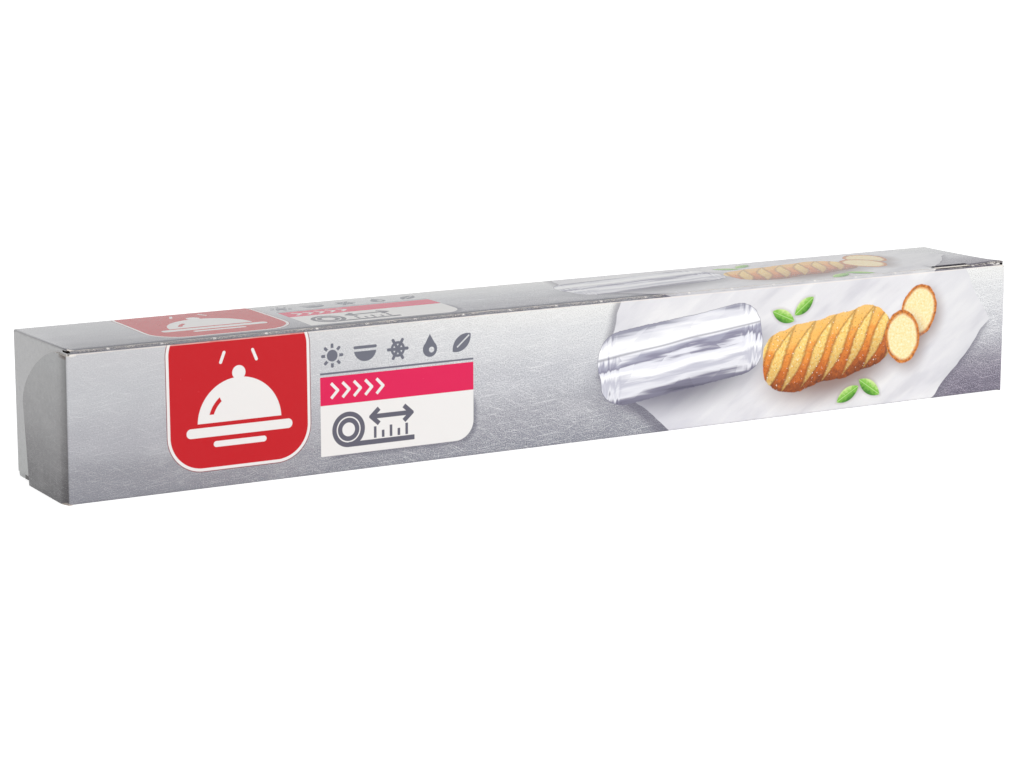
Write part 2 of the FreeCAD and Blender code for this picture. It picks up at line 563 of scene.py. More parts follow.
def herb(place, colour, centre, length, width, angle):
    shape, seen = pointed_leaf(place, centre, length, width, angle)
    _, down = seen.parts()
    level = (down * (1.0 / width) + 0.5 + (grain(place, 0.9) - 0.5) * 0.6).clipped()
    green = ramp(level, ((0.0, 206, 232, 150), (0.45, 126, 190, 70), (1.0, 58, 122, 34)))
    rib = cover(abs(down) - 0.09, 0.08) * 0.6
    return painted(colour, ((120, 96, 70), cover(shape - 0.3, 0.6) * 0.4),
                   (paint(green, (220, 238, 180), rib), cover(shape, 0.1)))


def foil_parcel(place, colour, piece):
    """A long parcel wrapped in bright foil: streaked along its length, gathered at its ends."""
    centre, half, angle = piece
    colour = soft_shadow(place, colour, piece, (1.5, 4.8), (1.12, 1.15), 0.85, (98, 96, 112))
    across, down = place.local(centre, half, angle).parts()
    swell = grain(place.local(centre, (30.0, 5.0), angle), 1.0, 1.0) - 0.5
    creases = grain(place.local(centre, (16.0, 1.3), angle + 3.0), 1.0, 2.0) - 0.5
    gathers = grain(place.local(centre, (1.1, 7.0), angle + 12.0), 1.0, 2.0) - 0.5
    dents = facets(place.local(centre, (2.6, 1.0), angle - 20.0), 4.4) - 0.5
    ends = between(abs(across), 0.7, 0.88)
    folds = creases * 0.2 + (gathers * 0.36 - creases * 0.2) * ends
    level = (down * 0.46 + 0.5 + swell * 0.3 + folds + dents * 0.03).clipped()
    metal = ramp(level, (
        (0.0, 150, 150, 166), (0.1, 226, 226, 233), (0.2, 255, 255, 255),
        (0.34, 240, 240, 245), (0.42, 166, 166, 184), (0.47, 140, 138, 158),
        (0.52, 232, 232, 240), (0.62, 253, 253, 255), (0.72, 198, 198, 210),
        (0.8, 232, 232, 238), (0.9, 126, 124, 142), (1.0, 84, 82, 100),
    ))
    seam = down + 0.36 + swell * 0.2
    metal = painted(metal, ((92, 90, 108), cover(abs(seam) - 0.018, 0.03) * 0.75),
                    (GLEAM, cover(abs(seam + 0.08) - 0.03, 0.03) * 0.85))
    body = block(place, centre, half, half[1] * 0.75, angle) + swell * 1.4 + gathers * 0.5
    return painted(colour, ((120, 118, 134), cover(body - 0.12)), (metal, cover(body)))


def foil_sheet(place, colour):
    """A pale sheet of foil laid across the picture, softly waved, with its shadow."""
    corners = [
        (168.0, -6.0), (286.0, -6.0), (299.0, 17.0), (272.5, 46.0), (190.0, 46.0), (160.0, 20.0),
    ]
    across, down = place.parts()
    wander = (grain(place, 11.0, 2.0) - 0.5) * 3.0
    shadow = polygon(place.changed("ADD", (1.4, -1.8, 0.0)), corners) + wander
    slanting = place.local((0.0, 0.0), (3.4, 1.0), -32.0)
    foil = painted(
        ramp(grain(slanting, 6.0, 3.0), (
            (0.3, 213, 212, 217), (0.5, 227, 226, 229), (0.7, 236, 235, 236),
        )),
        ((212, 210, 219), between(facets(slanting, 5.0), 0.6, 0.9) * 0.14),
        ((200, 199, 209), between(across - down, 172.0, 140.0) * 0.5),
        ((198, 199, 204), between(across, 270.0, 290.0) * 0.25),
        ((206, 204, 210), between(grain(place, 0.3, 1.0, 0.7), 0.55, 0.8) * 0.25),
    )
    return painted(colour, ((92, 88, 106), between(shadow, 2.4, -0.6) * 0.6),
                   (foil, cover(polygon(place, corners) + wander, 0.1)))


# Where the picture's things lie: middle, half size and angle, and for a herb its full size
PARCEL = ((186.5, 17.5), (28.0, 10.5), -7.0)
LOAF = ((238.5, 20.8), (23.5, 9.8), -9.0)
SLICES = (((272.0, 12.2), (6.6, 8.2), 16.0), ((266.0, 19.6), (6.4, 8.2), -10.0))
HERBS = (
    ((254.0, 34.0), 9.4, 4.2, 34.0), ((246.0, 35.4), 9.0, 4.0, -28.0),
    ((222.0, 9.6), 8.6, 3.8, 24.0), ((229.4, 7.2), 8.4, 3.8, -36.0),
)


def picture_art(place, colour):
    """A loaf, two slices of it and a wrapped parcel on a sheet of foil, in a corner's dusk."""
    across, down = place.parts()
    dusk = between(across, 262.0, 288.0) * between(down, 17.0, 38.0)
    colour = paint(colour, (196, 187, 201), dusk, "MULTIPLY")
    colour = foil_sheet(place, colour)
    colour = loaf(place, foil_parcel(place, colour, PARCEL), LOAF)
    for piece in SLICES:
        colour = loaf_slice(place, colour, piece)
    for piece in HERBS:
        colour = herb(place, colour, *piece)
    return colour


def off_sheet(across):
    """1 where the lid's front edge carries the ground, 0 where it carries the foil sheet."""
    return -between(across, 180.0, 188.0) * between(across, 284.0, 278.0) + 1.0


def bend_shade_and_rubbed_band(place, on_lid):
    """The ground's edge beside the line of cuts, where the lid bends down: painted shade of the bend
    darkens it there, and its shine is rubbed.
    """
    across, down = place.parts()
    return between(down, 35.1, 37.4) * on_lid * off_sheet(across)


def open_lip(place, on_lid):
    """The curled edge behind the open cut, painted dark and given a rougher shine."""
    across, down = place.parts()
    start, end = ((x + END) / MM for x in cut_spans()[-2])
    lengthwise = abs(across - (start + end) / 2) - (end - start) / 2
    return cover(both(lengthwise, abs(down - 37.2) - 0.7), 0.2) * on_lid


def tear_line(place, on_lid, colour):
    """Painted shade at the lid's bend and end folds, a dark edge behind the open cut, raw fibres along
    the cuts, torn nicks and a pale line along the crease below them.
    """
    across, down = place.parts()
    plain = off_sheet(across) * 0.65 + 0.35
    darker = between(across, 268.0, 290.0) * 0.25 + 0.2
    from_cut = down - ((DEPTH - TEAR_STRIP_DEPTH) / MM + 0.1)
    fibres = grain(place.scaled((0.6, 1.0)), 0.34, 3.0, 0.75)
    torn = between(grain(place.scaled((1.0, 0.0)), 5.0, 3.0), 0.4, 0.62)
    line = cover(abs(from_cut + 0.25) - 0.2, 0.15) + cover(abs(from_cut - 0.6) - 0.15, 0.15) * torn
    lips = cover(abs(from_cut - 0.1) - 0.5, 0.15) * on_lid * (torn * 0.85 + 0.15) * plain
    pitch = CUT_PITCH / MM
    nick = (across - ((END + FIRST_NICK) / MM - pitch / 2)) * (1 / pitch)
    from_nick = abs(nick.math("FRACT") - 0.5) * pitch
    bridge = cover(both(from_nick - 0.4, abs(from_cut) - 0.5), 0.12) * on_lid
    crease_patchiness = between(grain(place.scaled((0.2, 1.0)), 1.4, 3.0), 0.3, 0.55) * 0.4 + 0.2
    crease = cover(abs(down - (TEAR_STRIP_DROP / MM + 0.16)) - 0.12, 0.1)
    # lid_end: where painted shade of the lid's end folds is laid
    lid_end = between(abs(across - END / MM), END / MM - 1.4, END / MM - 0.7) * on_lid
    return painted(
        # painted shade of the lid's bend beside the line of cuts
        colour, ((84, 80, 90), bend_shade_and_rubbed_band(place, on_lid) * darker),
        ((24, 22, 32), open_lip(place, on_lid) * 0.85),
        ((74, 66, 66), line * on_lid * between(fibres, 0.64, 0.46) * plain),
        ((236, 229, 220), lips * between(fibres, 0.46, 0.6) * 0.9),
        ((252, 247, 242), bridge * between(fibres, 0.4, 0.5)),
        ((248, 236, 224), crease * (-on_lid + 1.0) * crease_patchiness), ((110, 106, 112), lid_end * 0.2),
    )


def corner_wear(place, on_lid, colour):
    """Bare board at the printed panels' corners, where the coating is rubbed off."""
    rough = (grain(place, 0.6, 3.0) - 0.5) * 1.6
    foot = disc(place, (0.0, 40.2), 0.55) + rough * 0.7
    top = oval(place, (1.7, 0.8), (1.2, 0.45)) + rough * 0.4
    far_top = oval(place, (303.6, 0.6), (1.4, 0.4)) + rough * 0.4
    far_lid = oval(place, (302.4, 38.6), (2.6, 1.3)) + rough * 1.4
    torn = cover(far_lid, 0.15) * on_lid
    specks = between(grain(place.scaled((0.5, 1.0)), 0.6, 2.0), 0.42, 0.56)
    return painted(
        colour, (PALE_BOARD, cover(foot, 0.15) * 0.85), ((96, 90, 98), torn * 0.7),
        ((242, 238, 234), torn * specks),
        ((242, 236, 228), cover(either(top, far_top), 0.15) * (-on_lid + 1.0) * 0.8),
    )


# Materials

COATING_IOR = 1.36
FLAP_TEXTURE = 0.3


def new_material(name):
    material = bpy.data.materials.new(name)
    material.use_nodes = True
    tree = material.node_tree
    return material, tree, tree.nodes["Principled BSDF"]


def set_shader(shader, sockets):
    for name, value in sockets.items():
        feed(shader.id_data, value, shader.inputs[name])


def roughened(shader, height, strength, distance):
    """Fine relief in the shading: height is a noise, and distance how far it stands out."""
    tree = shader.id_data
    bump = make_node(tree, "Bump", {"Height": height, "Strength": strength, "Distance": distance})
    tree.links.new(bump.outputs[0], shader.inputs["Normal"])


def coated(shader, place, colour, dulled=0.0):
    """Semi-gloss coated board: fine unevenness in its shine and its surface."""
    shine = grain(place, 2.2, 3.0) * 0.1 + 0.2
    set_shader(shader, {"Base Color": colour, "Roughness": shine + dulled,
                        "IOR": COATING_IOR, "Specular IOR Level": 0.5})
    roughened(shader, grain(place, 0.5, 3.0) + grain(place, 14.0, 2.0) * 2.0, 0.35, 0.02 * MM)


def printed_board(name, art=None):
    """Coated board with the ground and one zone of the artwork."""
    material, tree, shader = new_material(name)
    place, on_lid = print_place(tree)
    across, _ = place.parts()
    strength = between(across, 10.0, 130.0) * 0.75 + between(across, 264.0, 292.0) * 0.4 + 0.45
    colour = brushed_ground(place, GROUND_LEFT, GROUND_RIGHT, strength)
    if art is not None:
        colour = art(place, colour)
    colour = tear_line(place, on_lid, colour)
    if art is None or art is picture_art:
        colour = corner_wear(place, on_lid, colour)
    coated(shader, place, colour, bend_shade_and_rubbed_band(place, on_lid) * 0.35 + open_lip(place, on_lid) * 0.4)
    return material


def flap_board(name, stops, shade_and_wear=None):
    """Coated board of an end flap, back or base, with the ground running down it, and any painted shade
    and wear laid over it.
    """
    material, tree, shader = new_material(name)
    _, (x, y, z) = coordinates(tree)
    place = joined(x + y, -(z - HEIGHT / MM) + y * 0.02)
    colour = brushed_ground(place, stops, stops, FLAP_TEXTURE)
    mottle = grain(place, 1.5, 3.0, 0.6)
    colour = painted(colour, (GLEAM, between(mottle, 0.5, 0.75) * 0.1),
                     ((60, 58, 64), between(mottle, 0.5, 0.25) * 0.1))
    if shade_and_wear is not None:
        colour = shade_and_wear(y, z, colour)
    coated(shader, place, colour)
    return material


def leaf_fold_shade_and_wear(y, z, colour):
    """Painted shade in a band where the leaf bends round from the front panel, darkest at the fold; a
    dark brown edge at the top by the fold, and a rubbed foot.
    """
    from_fold, from_top = y - FRONT / MM, z - (HEIGHT - LEAF_TOP_GAP) / MM
    # painted shade where the leaf bends round from the front panel
    band = between(from_fold, 8.5, 2.5) * (between(z, 2.0, 12.0) * 0.06 + 0.12)
    top = between(from_top, -1.3, -0.5) * between(from_fold, 6.0, 3.5)
    seen = joined(from_fold, z)
    foot = oval(seen, (0.8, 0.0), (2.0, 0.55)) + (grain(seen, 0.6, 3.0) - 0.5) * 0.8
    return painted(
        colour, ((72, 62, 66), band), ((54, 48, 54), between(from_fold, 1.8, 0.3) * 0.24),
        ((112, 94, 84), top * 0.75), (PALE_BOARD, cover(foot, 0.15) * 0.8),
    )


def ear_fold_shade(y, z, colour):
    """Painted shade: the darker line where the flap bends down from the lid."""
    risen = -(y - REAR / MM) * (LEFT_LIFT / DEPTH)
    uneven = (grain(joined(y, z), 3.0, 2.0) - 0.5) * 0.9
    fold = between(z - risen + uneven, HEIGHT / MM - 0.8, HEIGHT / MM - 0.2)
    return paint(colour, (112, 108, 110), fold * 0.3)


def inmost_foot_shadow(y, z, colour):
    """A painted shadow between the inmost flap's foot and the base, except at its rear corner."""
    below = between(z, EAR_FOOT_GAP / MM + 0.2, EAR_FOOT_GAP / MM - 0.1)
    return paint(colour, (46, 40, 38), below * between(y, 15.4, 14.4))


def raw_board(name):
    """The board's cut edge and torn inside: pale fibres over grey-brown, dark where it is torn."""
    material, tree, shader = new_material(name)
    spot, (x, _, z) = coordinates(tree)
    fibres = grain(spot, 0.35, 4.0, 0.7)
    colour = ramp(fibres, ((0.25, 186, 174, 162), (0.5, 229, 223, 216), (0.75, 247, 244, 240)))
    torn_end = between(x, 142.0, 144.0) * between(z - HEIGHT / MM, -1.2, -0.9)
    colour = paint(colour, (74, 70, 78), torn_end * between(fibres, 0.58, 0.48) * 0.9)
    set_shader(shader, {"Base Color": colour, "Roughness": 0.9, "Specular IOR Level": 0.2})
    roughened(shader, fibres, 0.6, 0.05 * MM)
    return material


def dark_inside(name):
    """The inside of the carton, painted dark as its shade, seen through the open cut and the corner
    gaps.
    """
    material, _, shader = new_material(name)
    set_shader(shader, {
        "Base Color": srgb(52, 45, 42), "Roughness": 1.0, "Specular IOR Level": 0.0,
    })
    return material


# Shapes

def bisect(bm, geometry, point, normal, clear_outer=False):
    return bmesh.ops.bisect_plane(
        bm, geom=geometry, dist=1e-7, plane_co=point, plane_no=normal, clear_outer=clear_outer
    )


def divide(bm, axis, where, geometry=None):
    """Adds edges where the plane at this place on the axis meets the geometry, or everything."""
    normal = Vector([float(axis == name) for name in "XYZ"])
    bisect(bm, geometry or everything(bm), normal * where, normal)


def everything(bm):
    return bm.verts[:] + bm.edges[:] + bm.faces[:]


def region(bm, wanted):
    """The corners, edges and faces of the wanted faces."""
    faces = [face for face in bm.faces if wanted(face)]
    edges = {edge for face in faces for edge in face.edges}
    verts = {vert for face in faces for vert in face.verts}
    return list(verts) + list(edges) + faces


def lies_at(item, x):
    """Whether all corners of a face or an edge are at this x."""
    return all(abs(vert.co.x - x) < NEAR for vert in item.verts)


def mesh_of(bm, name):
    mesh = bpy.data.meshes.new(name)
    bm.to_mesh(mesh)
    bm.free()
    return mesh


def in_scene(name, data):
    item = bpy.data.objects.new(name, data)
    bpy.context.scene.collection.objects.link(item)
    return item


def rounded(bm, edges, radius, steps):
    bmesh.ops.bevel(bm, geom=edges, offset=radius, affect="EDGES",
                    segments=steps, profile=0.5, material=-1)


def extruded(bm, faces, step):
    """Extrudes the faces by step."""
    made = bmesh.ops.extrude_face_region(bm, geom=faces)["geom"]
    verts = [item for item in made if isinstance(item, bmesh.types.BMVert)]
    bmesh.ops.translate(bm, vec=step, verts=verts)


def pushed_out(bm, faces, step):
    """Extrudes the faces by step, leaving none behind."""
    extruded(bm, faces, step)
    left = [face for face in faces if face.is_valid]
    bmesh.ops.delete(bm, geom=left, context="FACES_ONLY")


def nick_places():
    return [FIRST_NICK + number * CUT_PITCH for number in range(NICKS)]


def cut_spans():
    """Start and end of each cut along the lid, from left to right."""
    nicks = nick_places()
    starts = [-CORE_END] + [nick + NICK_LENGTH / 2 for nick in nicks]
    ends = [nick - NICK_LENGTH / 2 for nick in nicks] + [CORE_END]
    return list(zip(starts, ends))


def folded_block(bm):
    """The four long panels with their folds and the slope of the tear strip."""
    bmesh.ops.create_cube(bm, size=1.0)
    bmesh.ops.scale(bm, vec=(2 * CORE_END, DEPTH, HEIGHT), verts=bm.verts)
    bmesh.ops.translate(bm, vec=(0.0, 0.0, HEIGHT / 2), verts=bm.verts)
    folds = []
    for edge in bm.edges:
        a, b = (vert.co for vert in edge.verts)
        lengthwise = abs(a.x - b.x) > CORE_END
        if lengthwise and not (a.y < 0 and a.z > HEIGHT / 2):
            folds.append(edge)
    rounded(bm, folds, FOLD_RADIUS, FOLD_STEPS)
    slope = Vector((0.0, -TEAR_STRIP_DROP, TEAR_STRIP_DEPTH)).normalized()
    bisect(bm, everything(bm), (0.0, LINE_OF_CUTS, HEIGHT), slope, clear_outer=True)
    open_edges = [edge for edge in bm.edges if edge.is_boundary]
    bmesh.ops.holes_fill(bm, edges=open_edges, sides=0)


def step_seam(bm):
    """Sets the base's glued edge back from the back panel, which ends a little above it."""
    for height in (SEAM_HEIGHT, SEAM_HEIGHT - SEAM_SLOPE):
        divide(bm, "Z", height)
    for vert in bm.verts:
        if vert.co.z < SEAM_HEIGHT - NEAR and vert.co.y > REAR - FOLD_RADIUS - NEAR:
            vert.co.y -= BOARD


def divide_panels(bm):
    """Lines across and along the panels: at the nicks, the print zones and for a soft bow."""
    stations = []
    for start, end in cut_spans():
        stations += [start, (start + end) / 2, end]
    open_start, open_end = cut_spans()[-2]
    stations += [open_start + OPEN_CUT_RUN, open_end - OPEN_CUT_RUN, LEFT_LIFT_RUN - CORE_END]
    stations += [edge * MM - END for zone in ZONES.values() for edge in zone]
    for x in sorted({x for x in stations if abs(x) < CORE_END - NEAR}):
        divide(bm, "X", x)
    for share in (0.2, 0.4, 0.6, 0.8):
        divide(bm, "Y", FRONT + share * DEPTH)
        divide(bm, "Z", share * HEIGHT)
    for y in (LINE_OF_CUTS + CUT_WIDTH, LIP_CREST):
        divide(bm, "Y", y)


def gape_cuts(bm):
    """Opens each cut a little at its middle, and the last whole one more, before it is sunk."""
    spans = cut_spans()
    for number, (start, end) in enumerate(spans):
        is_open = number == len(spans) - 2
        gape = OPEN_CUT_GAPE if is_open else random.uniform(*CUT_GAPE)
        lift = OPEN_CUT_LIFT if is_open else random.uniform(*CUT_LIFT)
        for vert in bm.verts:
            if not start + NEAR < vert.co.x < end - NEAR or vert.co.z < HEIGHT - NEAR:
                continue
            if abs(vert.co.y - LINE_OF_CUTS - CUT_WIDTH) < NEAR:
                vert.co.y += gape
                vert.co.z += lift
            elif is_open and abs(vert.co.y - LIP_CREST) < NEAR:
                vert.co.z += LIP_CREST_LIFT
            elif is_open and abs(vert.co.y - LINE_OF_CUTS) < NEAR:
                vert.co.z -= OPEN_CUT_DROP


def sink_cuts(bm, raw_slot, inside_slot):
    """Sinks the narrow faces between the nicks to make the cuts: raw board, then the dark inside."""
    narrow = []
    for face in bm.faces:
        centre = face.calc_center_median()
        in_line = LINE_OF_CUTS < centre.y < LINE_OF_CUTS + CUT_WIDTH + OPEN_CUT_GAPE / 2
        depths = [vert.co.y for vert in face.verts]
        wide = max(depths) - min(depths)
        if not in_line or face.normal.z < 0.7 or wide > CUT_WIDTH + OPEN_CUT_GAPE + NEAR:
            continue
        at_nick = any(abs(centre.x - nick) < NICK_LENGTH / 2 for nick in nick_places())
        if min(depths) < LINE_OF_CUTS + NEAR and not at_nick:
            narrow.append(face)
    for depth, slot in ((RAW_EDGE, raw_slot), (CUT_DEPTH - RAW_EDGE, inside_slot)):
        made = bmesh.ops.inset_region(bm, faces=narrow, thickness=CUT_TAPER, depth=-depth,
                                      use_boundary=True, use_even_offset=True)
        for face in made["faces"]:
            face.material_index = slot
    for face in narrow:
        face.material_index = inside_slot


def add_ears(bm):
    """Pushes out, at both ends, the flap that is folded down from the lid."""
    for sign in (-1.0, 1.0):
        def at_end(face):
            return lies_at(face, sign * CORE_END)

        def in_flap(face):
            centre = face.calc_center_median()
            within = FRONT + EAR_FRONT_GAP < centre.y < REAR - EAR_REAR_GAP
            return at_end(face) and centre.z > EAR_FOOT_GAP and within

        divide(bm, "Y", REAR - EAR_REAR_GAP, region(bm, at_end))
        divide(bm, "Z", EAR_FOOT_GAP, region(bm, at_end))
        divide(bm, "Y", FRONT + EAR_FRONT_GAP, region(bm, at_end))
        pushed_out(bm, [face for face in bm.faces if in_flap(face)], (sign * BOARD, 0.0, 0.0))
        lid_fold = [
            edge for edge in bm.edges
            if lies_at(edge, sign * (CORE_END + BOARD)) and len(edge.link_faces) == 2
            and all(vert.co.z > HEIGHT - 0.5 * MM for vert in edge.verts)
            and any(abs(face.normal.x) < 0.5 for face in edge.link_faces)
        ]
        rounded(bm, lid_fold, END_FOLD_RADIUS, END_FOLD_STEPS)


def bow_panels(bm):
    """Lets the front, lid and back panels swell a little between their folds."""
    for vert in bm.verts:
        x, y, z = vert.co
        along = max(0.0, 1 - (x / CORE_END) ** 6)
        wander = 1 + BOW_SWAY * noise.noise(Vector((x * 22.0, *BOW_NOISE)))
        upright = max(0.0, 1 - (2 * z / HEIGHT - 1) ** 2)
        flat = max(0.0, 1 - (2 * y / DEPTH) ** 2)
        if y < FRONT + NEAR:
            vert.co.y -= BOW * 0.6 * upright * along * wander
        elif y > REAR - NEAR:
            vert.co.y += BOW * upright * along * wander
        if z > HEIGHT - 0.5 * MM and abs(x) < CORE_END - NEAR:
            vert.co.z += BOW * flat * along * wander


def lift_corner(bm):
    """Lets the lid's ends spring up towards their front corners, off the line of cuts."""
    for vert in bm.verts:
        forward = (REAR - vert.co.y) / DEPTH
        near_left = max(0.0, 1 - (vert.co.x + CORE_END) / LEFT_LIFT_RUN)
        near_right = max(0.0, 1 - (CORE_END - vert.co.x) / RIGHT_LIFT_RUN)
        behind_cuts = vert.co.y > LINE_OF_CUTS + CUT_WIDTH / 2
        if behind_cuts and vert.co.z > HEIGHT - RAW_EDGE - NEAR:
            vert.co.z += LEFT_LIFT * forward * min(1.0, near_left)
            vert.co.z += RIGHT_LIFT * forward ** 3 * min(1.0, near_right)
            if vert.co.x > CORE_END - NEAR and vert.co.y < LIP_CREST + NEAR:
                vert.co.x += RIGHT_TIP


def assign_zones(bm, slots):
    """Gives each face the board of its panel, and on the front and the lid that of its zone."""
    for face in bm.faces:
        if face.material_index in (slots["raw"], slots["inside"]):
            continue
        centre = face.calc_center_median()
        away = (centre.x + END) / MM
        on_front = centre.y < LINE_OF_CUTS
        on_lid = centre.z > CREASE_HEIGHT
        if abs(face.normal.x) > 0.9:
            name = "ear" if abs(centre.x) > CORE_END + NEAR else "inmost"
        elif on_front and face.normal.y < -0.3 or on_lid and face.normal.z > 0.3:
            name = "ground"
            for zone, (start, end) in ZONES.items():
                if start < away < end:
                    name = zone
        else:
            name = "back"
        face.material_index = slots[name]


def open_corners(piece, inside_board):
    """Cuts the small openings where the line of cuts runs out at the lid's front corners."""
    bm = bmesh.new()
    for sign, top in ((-1.0, LEFT_GAP_TOP), (1.0, RIGHT_GAP_TOP)):
        size = (CORNER_GAP_LENGTH, CORNER_GAP_DEPTH + BOARD, CORNER_GAP_HEIGHT)
        middle = (sign * (END - CORNER_GAP_LENGTH / 2), FRONT + (CORNER_GAP_DEPTH - BOARD) / 2,
                  top - CORNER_GAP_HEIGHT / 2)
        made = bmesh.ops.create_cube(bm, size=1.0)["verts"]
        bmesh.ops.scale(bm, vec=size, verts=made)
        bmesh.ops.translate(bm, vec=middle, verts=made)
    cutter = in_scene("corner_cutter", mesh_of(bm, "corner_cutter"))
    cutter.data.materials.append(inside_board)
    cut = piece.modifiers.new("corners", "BOOLEAN")
    cut.operation, cut.solver, cut.object = "DIFFERENCE", "EXACT", cutter
    apply_modifiers(piece)
    bpy.data.objects.remove(cutter)


def apply_modifiers(piece):
    graph = bpy.context.evaluated_depsgraph_get()
    made = bpy.data.meshes.new_from_object(piece.evaluated_get(graph))
    piece.modifiers.clear()
    piece.data = made


def finish_piece(bm, name, materials):
    bmesh.ops.remove_doubles(bm, verts=bm.verts, dist=SAME_SPOT)
    bmesh.ops.recalc_face_normals(bm, faces=bm.faces)
    piece = in_scene(name, mesh_of(bm, name))
    for material in materials:
        piece.data.materials.append(material)
    return piece


def lean_left_end(piece):
    """Sets the left end a little out of square."""
    for vert in piece.data.vertices:
        if vert.co.x > -CORE_END + NEAR:
            continue
        rearward, upward = (vert.co.y - FRONT) / DEPTH, vert.co.z / HEIGHT
        foot = FRONT_LEAN[0] + (REAR_LEAN[0] - FRONT_LEAN[0]) * rearward
        back = FRONT_LEAN[1] + (REAR_LEAN[1] - FRONT_LEAN[1]) * rearward
        vert.co.x += back * upward - foot


def soften(piece):
    """Smooth folds with flat panels between them."""
    mesh = piece.data
    mesh.polygons.foreach_set("use_smooth", [True] * len(mesh.polygons))
    mesh.set_sharp_from_angle(angle=SHARP_ANGLE)
    level = piece.modifiers.new("flat_panels", "WEIGHTED_NORMAL")
    level.keep_sharp = True


def make_tube(boards):
    names = list(boards)
    slots = {name: number for number, name in enumerate(names)}
    bm = bmesh.new()
    folded_block(bm)
    step_seam(bm)
    divide_panels(bm)
    for face in bm.faces:
        face.material_index = slots["ground"]
    gape_cuts(bm)
    sink_cuts(bm, slots["raw"], slots["inside"])
    add_ears(bm)
    assign_zones(bm, slots)
    bow_panels(bm)
    lift_corner(bm)
    piece = finish_piece(bm, "carton", [boards[name] for name in names])
    open_corners(piece, boards["inside"])
    lean_left_end(piece)
    soften(piece)
    return piece


def leaf_corners():
    """The leaf's outline in (y, z): straight, but for one large curve at the top rear."""
    top = HEIGHT - LEAF_TOP_GAP
    rear = REAR - LEAF_REAR_TOP
    start, end = Vector((rear - LEAF_CURVE_LENGTH, top)), Vector((rear, top - LEAF_CURVE_DROP))
    along_top, along_rear = start + Vector((LEAF_CURVE_HOLD, 0.0)), end + Vector((0.0, LEAF_CURVE_HOLD))
    curve = interpolate_bezier(start, along_top, along_rear, end, LEAF_CURVE_STEPS)
    curve = [Vector(point[:2]) for point in curve]
    base = [Vector((REAR - LEAF_REAR_BOTTOM, 0.0)), Vector((FRONT, 0.0))]
    return curve + base + [Vector((FRONT, top))]


def make_leaf(name, sign, boards):
    """The glued outer flap, with the end of the front panel that it is folded from."""
    bm = bmesh.new()
    outer, inner = -END, -END + BOARD
    face = bm.faces.new([bm.verts.new((outer, y, z)) for y, z in leaf_corners()])
    extruded(bm, [face], (inner - outer, 0.0, 0.0))
    bmesh.ops.recalc_face_normals(bm, faces=bm.faces)
    divide(bm, "Y", FRONT + BOARD, region(bm, lambda face: lies_at(face, inner)))
    strip = [
        face for face in bm.faces
        if lies_at(face, inner) and face.calc_center_median().y < FRONT + BOARD
    ]
    pushed_out(bm, strip, (BOARD, 0.0, 0.0))
    fold = [
        edge for edge in bm.edges
        if lies_at(edge, outer) and all(abs(v.co.y - FRONT) < NEAR for v in edge.verts)
    ]
    rounded(bm, fold, END_FOLD_RADIUS, END_FOLD_STEPS)
    for face in bm.faces:
        facing = max(abs(face.normal.x), -face.normal.y)
        is_printed = facing > 0.6 and face.calc_center_median().x < inner - NEAR
        face.material_index = 2 if face.normal.y < -0.6 else 0 if is_printed else 1
    if sign < 0:
        stand_off(bm)
    else:
        bmesh.ops.scale(bm, vec=(-1.0, 1.0, 1.0), verts=bm.verts)
        bmesh.ops.reverse_faces(bm, faces=bm.faces)
    piece = finish_piece(bm, name, boards)
    lean_left_end(piece)
    soften(piece)
    return piece


def stand_off(bm):
    """Bends the leaf out behind its fold, most at its foot."""
    for step in range(1, LEAF_BEND_STEPS + 1):
        divide(bm, "Y", FRONT + LEAF_BEND * step / LEAF_BEND_STEPS)
    for vert in bm.verts:
        behind = max(0.0, min(1.0, (vert.co.y - FRONT - BOARD) / (LEAF_BEND - BOARD)))
        share = 1 - (1 - behind) ** 2
        vert.co.x -= LEAF_STAND_OFF * share * (1 - vert.co.z / HEIGHT)


# Stage, light and camera

CAMERA_PLACE = (-385.5 * MM, -663.8 * MM, 166.4 * MM)
CAMERA_AZIMUTH, CAMERA_ELEVATION, CAMERA_ROLL = -29.438, 11.27, -0.039
SENSOR = 36.0
FRAME_WIDTH = 1024
FOCAL_PIXELS = 2704.7


def make_camera():
    data = bpy.data.cameras.new("camera")
    data.sensor_width = SENSOR
    data.lens = FOCAL_PIXELS * SENSOR / FRAME_WIDTH
    data.clip_start, data.clip_end = 0.01, 20.0
    camera = in_scene("camera", data)
    camera.location = CAMERA_PLACE
    turn = Matrix.Rotation(math.radians(CAMERA_AZIMUTH), 3, "Z")
    tilt = Matrix.Rotation(math.radians(90.0 - CAMERA_ELEVATION), 3, "X")
    roll = Matrix.Rotation(math.radians(CAMERA_ROLL), 3, "Z")
    camera.rotation_euler = (turn @ tilt @ roll).to_euler()
    bpy.context.scene.camera = camera


def seen_directly(tree):
    """1 for camera, glossy and transmission rays, which show the white background."""
    path = make_node(tree, "LightPath")
    total = Value(tree, path.outputs["Is Camera Ray"])
    for name in ("Is Glossy Ray", "Is Transmission Ray"):
        total = total + Value(tree, path.outputs[name])
    return total.clipped()


WORLD_LIGHT = 0.5
SEEN_WORLD = 1.0
FLOOR_GLOW = 0.75
FLOOR_SIZE = 4.0
LAMP_PLACE, LAMP_SIZE, LAMP_POWER = (0.55, -1.6, 0.45), 1.0, 20.0


def make_world():
    world = bpy.data.worlds.new("studio")
    world.use_nodes = True
    tree = world.node_tree
    background = tree.nodes["Background"]
    background.inputs["Color"].default_value = (1.0, 1.0, 1.0, 1.0)
    strength = seen_directly(tree) * (SEEN_WORLD - WORLD_LIGHT) + WORLD_LIGHT
    feed(tree, strength, background.inputs["Strength"])
    bpy.context.scene.world = world


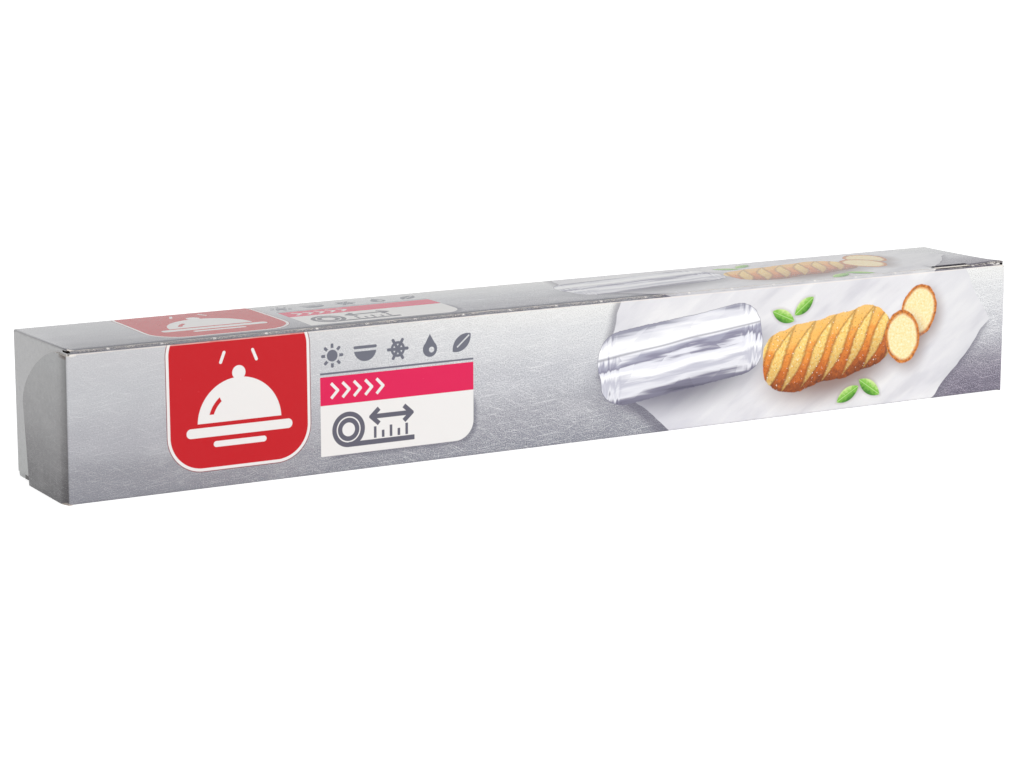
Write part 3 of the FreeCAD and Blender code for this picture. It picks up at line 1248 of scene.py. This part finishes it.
def make_floor():
    bm = bmesh.new()
    bmesh.ops.create_grid(bm, x_segments=1, y_segments=1, size=FLOOR_SIZE)
    floor = in_scene("floor", mesh_of(bm, "floor"))
    material, tree, shader = new_material("white_floor")
    set_shader(shader, {
        "Base Color": (0.8, 0.8, 0.8, 1.0), "Roughness": 1.0, "Specular IOR Level": 0.0,
        "Emission Color": (1.0, 1.0, 1.0, 1.0), "Emission Strength": seen_directly(tree) * FLOOR_GLOW,
    })
    floor.data.materials.append(material)


def make_lamp():
    data = bpy.data.lights.new("key_lamp", "AREA")
    data.size, data.energy = LAMP_SIZE, LAMP_POWER
    lamp = in_scene("key_lamp", data)
    lamp.location = LAMP_PLACE
    aim = Vector((0.0, 0.0, HEIGHT / 2)) - Vector(LAMP_PLACE)
    lamp.rotation_euler = aim.to_track_quat("-Z", "Y").to_euler()
    lamp.visible_glossy = False


def make_boards():
    ear_stops = ((0.0, 213, 213, 214), (0.5, 217, 217, 218), (1.0, 219, 221, 220))
    # The left leaf's ramp: its ground print, darkened towards the base with painted shade of the
    # shadowed end
    left_leaf_stops_with_painted_shade = (
        (0.0, 193, 194, 195), (0.1, 187, 188, 189), (0.25, 181, 181, 182),
        (0.5, 165, 164, 166), (0.75, 133, 131, 134), (0.9, 98, 96, 100),
        (1.0, 77, 75, 80),
    )
    back_stops = ((0.0, 206, 206, 210), (0.6, 190, 190, 196), (1.0, 168, 168, 176))
    return {
        "ground": printed_board("printed_ground"),
        "badge": printed_board("printed_badge", badge_art),
        "label": printed_board("printed_label", label_art),
        "picture": printed_board("printed_picture", picture_art),
        "raw": raw_board("raw_board"),
        "inside": dark_inside("dark_inside"),
        "ear": flap_board("printed_ear", ear_stops, ear_fold_shade),
        "inmost": flap_board("printed_inmost_flap", ear_stops, inmost_foot_shadow),
        "back": flap_board("printed_back", back_stops),
        "left_leaf": flap_board("printed_left_leaf_with_painted_shade", left_leaf_stops_with_painted_shade, leaf_fold_shade_and_wear),
        "right_leaf": flap_board("printed_right_leaf", back_stops, leaf_fold_shade_and_wear),
    }


def build():
    boards = make_boards()
    tube_boards = {name: boards[name] for name in boards if "leaf" not in name}
    tube = make_tube(tube_boards)
    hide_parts(NODE)
    leaves = [
        make_leaf("left_leaf", -1.0, (boards["left_leaf"], boards["raw"], boards["ground"])),
        make_leaf("right_leaf", 1.0, (boards["right_leaf"], boards["raw"], boards["picture"])),
    ]
    for piece in [tube] + leaves:
        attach(piece, "root")


make_camera()
make_world()
make_floor()
make_lamp()
build()
bpy.context.scene.view_settings.view_transform = "Standard"
